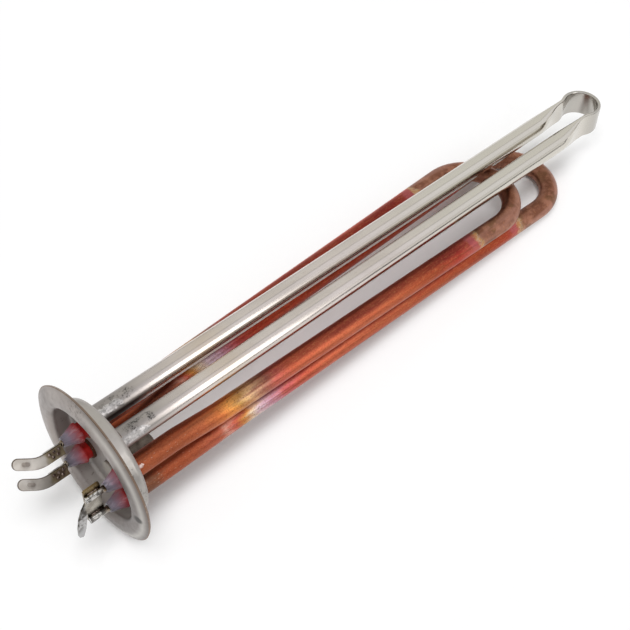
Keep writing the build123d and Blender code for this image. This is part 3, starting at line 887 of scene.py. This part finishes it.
def grid_faces(rows, columns, joined=True):
    """Quads between the rows of a grid, whose last column meets the first one where it is joined."""
    faces = []
    for row in range(rows - 1):
        here = row * columns
        above = here + columns
        for column in range(columns if joined else columns - 1):
            beside = (column + 1) % columns
            faces.append((here + column, here + beside, above + beside, above + column))
    return faces


def lathe(centre, heading, sideways, profile, columns, wobble, seed):
    """Points of a ring round an axis. The profile is (along, radius), its free side roughened by wobble."""
    upward = heading.cross(sideways)
    points = []
    for index, (along, radius) in enumerate(profile):
        free = sin(pi * index / (len(profile) - 1))
        for column in range(columns):
            angle = 2 * pi * column / columns
            outward = sideways * cos(angle) + upward * sin(angle)
            lump = noise.noise(outward * LUMPS_ROUND + Vector((seed, along * LUMPS_ALONG, 0)))
            swell = 1 + wobble * free * lump
            spread = 1 + (swell - 1) * LUMPS_SIDEWAYS
            points.append(centre + heading * along * swell + outward * radius * spread)
    return points


def braze_bead(name, centre, heading, radius, material, seed):
    """Fillet of braze in the corner between a tube and the sheet it passes through."""
    width = BEAD_WIDTH * MM
    height = BEAD_HEIGHT * MM
    profile = []
    for step in range(BEAD_STEPS + 1):
        turn = radians(90) * step / BEAD_STEPS
        profile.append((height * (1 - sin(turn)), radius + width * (1 - cos(turn))))
    profile = [(0.0, radius)] + profile[::-1] + [(height, radius)]
    points = lathe(centre, heading, Vector((0, 1, 0)), profile, BEAD_COLUMNS, BEAD_WOBBLE, seed)
    return piece(name, points, grid_faces(len(profile), BEAD_COLUMNS), material)


def tube_axes():
    """Where each tube and the boss pass the cup's floor: {name: (y, z, radius)}."""
    axes = {}
    for end in ENDS:
        axes[end] = (*box_axis(f"cone_{end}"), TUBE_RADIUS * MM)
    for mount in frame["record"]["mounts"]:
        if mount["name"].startswith("sensor_bore"):
            side = mount["name"].split("_")[-1]
            axes[f"well_{side}"] = (mount["pos_m"][1], mount["pos_m"][2], TUBE_RADIUS * MM)
    low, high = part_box("anode_boss")
    axes["boss"] = (*box_axis("anode_boss"), (high.y - low.y) / 2)
    return axes


def braze_beads(material):
    """A bead on the tank side of the cup at each tube and at the boss."""
    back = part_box("flange")[1].x
    for seed, (name, (y, z, radius)) in enumerate(tube_axes().items()):
        braze_bead(f"braze_{name}", Vector((back, y, z)), Vector((1, 0, 0)), radius, material, seed)


def weld_nugget(name, centre, out, material, seed):
    """Low lump of melted metal on one spot weld, with a sunk rim."""
    size = WELD_SPOT_RADIUS * MM
    profile = [(height * MM, share * size) for height, share in NUGGET_PROFILE]
    points = lathe(centre, out, Vector((1, 0, 0)), profile, NUGGET_COLUMNS, NUGGET_WOBBLE, seed)
    faces = grid_faces(len(profile), NUGGET_COLUMNS)
    faces.append(tuple(range(NUGGET_COLUMNS))[::-1])
    return piece(name, points, faces, material)


def tab_welds(material):
    """The spot welds on both elbow tabs."""
    for number, loop in enumerate(LOOPS):
        _, out, _ = tab_plane(loop)
        for index, centre in enumerate(weld_spots(loop)):
            seed = index + NUGGET_SEEDS_APART * number
            weld_nugget(f"weld_{loop}_{index + 1}", centre, out, material, seed)


def root_splash(material):
    """Flat splash of flux on the short loop's copper, just past the flange."""
    y, z, radius = tube_axes()["short_right"]
    spot = Vector(ROOT_SPLASH)
    middle = atan2(spot.z - z, spot.y - y)
    points = []
    for ring in range(SPLASH_RINGS + 1):
        share = ring / SPLASH_RINGS
        for column in range(SPLASH_COLUMNS):
            angle = 2 * pi * column / SPLASH_COLUMNS
            ragged = noise.noise(Vector((cos(angle) * 1.7, sin(angle) * 1.7, 4.0)))
            size = SPLASH_REACH * MM * share * (1 + SPLASH_RAGGED * ragged)
            x = spot.x + SPLASH_STRETCH * size * cos(angle)
            turn = middle + size * sin(angle) / radius
            level = radius + SPLASH_THICKNESS * MM * (1 - share ** 2) - SPLASH_SINK * MM
            points.append((x, y + level * cos(turn), z + level * sin(turn)))
    faces = grid_faces(SPLASH_RINGS + 1, SPLASH_COLUMNS)
    piece("flux_splash", points, faces, material)


def run_body(place, share, aside):
    """How thick a run of braze is at a place, from -0.4, sunk in the tube, up to 1.

    The share says how far along the run the place is, and aside, from -1 to 1, how far across it.
    """
    ragged = sum(strength * noise.noise(place * density) for strength, density in RUN_LUMPS)
    rim = max(0.0, abs(aside) - RUN_SIDE_RIM) * 10.0 + max(0.0, share - RUN_END_RIM) * 20.0
    body = 0.75 - abs(aside) ** 2 - 0.9 * share ** 2 + ragged - rim
    return max(-0.4, min(1.0, body * 1.6))


def root_runs(material):
    """Thin, ragged run of braze along each leg of the steel tube, from its root."""
    axes = tube_axes()
    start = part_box("flange")[1].x
    for side, (turn, reach) in ROOT_RUNS.items():
        y, z, radius = axes[f"well_{side}"]
        points = []
        for row in range(RUN_ROWS):
            share = row / (RUN_ROWS - 1)
            x = start + share * reach * MM
            for column in range(RUN_COLUMNS):
                aside = 2 * column / (RUN_COLUMNS - 1) - 1
                angle = radians(turn + aside * RUN_HALF_ANGLE)
                place = Vector((x, y + radius * cos(angle), z + radius * sin(angle)))
                level = radius + RUN_THICKNESS * MM * run_body(place, share, aside)
                points.append((x, y + level * cos(angle), z + level * sin(angle)))
        faces = grid_faces(RUN_ROWS, RUN_COLUMNS, joined=False)
        piece(f"braze_run_{side}", points, faces, material)


def pin_welds(material):
    """Runs of melted metal along the upper edge of each right-hand pin, against the common plate."""
    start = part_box("bridge")[1].x - PIN_WELD_START * MM
    for seed, loop in enumerate(LOOPS):
        low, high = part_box(f"pin_{loop}_right")
        y = low.y + (high.y - low.y) * PIN_WELD_ASIDE
        z = high.z - PIN_WELD_SINK * MM
        points = []
        for row in range(PIN_WELD_ROWS):
            share = row / (PIN_WELD_ROWS - 1)
            centre = Vector((start - PIN_WELD_LENGTH * MM * share, y, z))
            lump = 0.65 + 0.8 * abs(noise.noise(Vector((share * PIN_WELD_LUMPS, seed * 3.0, 0.0))))
            size = PIN_WELD_RADIUS * MM * lump * sin(pi * (0.06 + 0.88 * share)) ** 0.5
            for column in range(PIN_WELD_COLUMNS):
                angle = 2 * pi * column / PIN_WELD_COLUMNS
                points.append(centre + Vector((0, size * cos(angle) * 0.9, size * sin(angle) * 0.8)))
        faces = grid_faces(PIN_WELD_ROWS, PIN_WELD_COLUMNS)
        faces.append(tuple(range(PIN_WELD_COLUMNS))[::-1])
        faces.append(tuple(range(len(points) - PIN_WELD_COLUMNS, len(points))))
        piece(f"weld_run_{loop}", points, faces, material)


# Floor, light and camera


def rest_slope():
    """Slope of the floor along X and its height at X 0, under the flange and the long loop's end."""
    flange = mesh_points("flange")
    loop = mesh_points("sheath_long")

    def lowest(points, slope):
        return min(point.z - slope * point.x for point in points)

    flat = FLATTEST_SLOPE
    steep = STEEPEST_SLOPE
    for _ in range(SLOPE_HALVINGS):
        slope = (flat + steep) / 2
        if lowest(loop, slope) > lowest(flange, slope):
            flat = slope
        else:
            steep = slope
    return slope, lowest(flange, slope)


def make_floor():
    slope, height = rest_slope()
    front, back = FLOOR_X
    near, far = FLOOR_Y
    corners = [(front, near), (back, near), (back, far), (front, far)]
    points = [(x, y, height + slope * x) for x, y in corners]
    floor = add_mesh("floor", points, [(0, 1, 2, 3)], floor_paper())


def area_light(name, place, target, size, power, mirrored):
    """Rectangular lamp, aimed at the target. Metal shows it only where it is mirrored."""
    data = bpy.data.lights.new(name, "AREA")
    data.shape = "RECTANGLE"
    data.size, data.size_y = size
    data.energy = power
    made = add_object(name, data)
    made.location = place
    made.visible_glossy = mirrored
    aim = Vector(target) - Vector(place)
    made.rotation_euler = aim.to_track_quat("-Z", "Y").to_euler()


def make_world():
    """Light tent: pale all round, a little darker in two slits beside the front lamp. Metal mirrors it."""
    world = bpy.data.worlds.new("studio")
    world.use_nodes = True
    s = Nodes(world.node_tree)
    _, sideways, upward = s.parts(s.node("ShaderNodeTexCoord").outputs["Generated"])
    angle = s.maths("ARCTAN2", upward, s.times(sideways, -1.0))
    tent = s.stops(angle, [
        (radians(degrees), (level, level, level * blue, 1.0)) for degrees, level, blue in TENT_LEVELS
    ])
    seen = s.node("ShaderNodeLightPath").outputs
    background = s.tree.nodes["Background"]
    s.feed(background.inputs["Color"], s.mix(seen["Is Camera Ray"], tent, colour(255, 255, 255)))
    s.feed(background.inputs["Strength"], s.ramp(seen["Is Diffuse Ray"], 0.0, 1.0, 1.0, DOME_LEVEL))
    bpy.context.scene.world = world


def make_lights():
    area_light(
        "overhead", place=(-0.16, -0.20, 1.10), target=(0.11, 0.0, 0.0), size=(0.52, 0.52), power=8.0,
        mirrored=False,
    )
    area_light(
        "front_box", place=(0.26, -0.52, 0.21), target=(0.08, 0.0, 0.0), size=(0.18, 0.50), power=0.54,
        mirrored=True,
    )
    make_world()


def make_camera():
    right = Vector(CAMERA_RIGHT).normalized()
    up = Vector(CAMERA_UP).normalized()
    back = right.cross(up).normalized()
    up = back.cross(right)
    turn = Matrix((right, up, back)).transposed().to_4x4()
    data = bpy.data.cameras.new("camera")
    data.lens = CAMERA_LENS
    data.sensor_width = CAMERA_SENSOR
    made = add_object("camera", data)
    made.matrix_world = Matrix.Translation(CAMERA_PLACE) @ turn
    bpy.context.scene.camera = made


def main():
    bpy.context.scene.view_settings.view_transform = "Standard"
    make_camera()
    make_lights()
    make_floor()
    paint_all()
    braze_beads(braze_metal())
    root_runs(run_metal())
    root_splash(dry_flux())
    melted = weld_metal()
    tab_welds(melted)
    pin_welds(melted)


main()
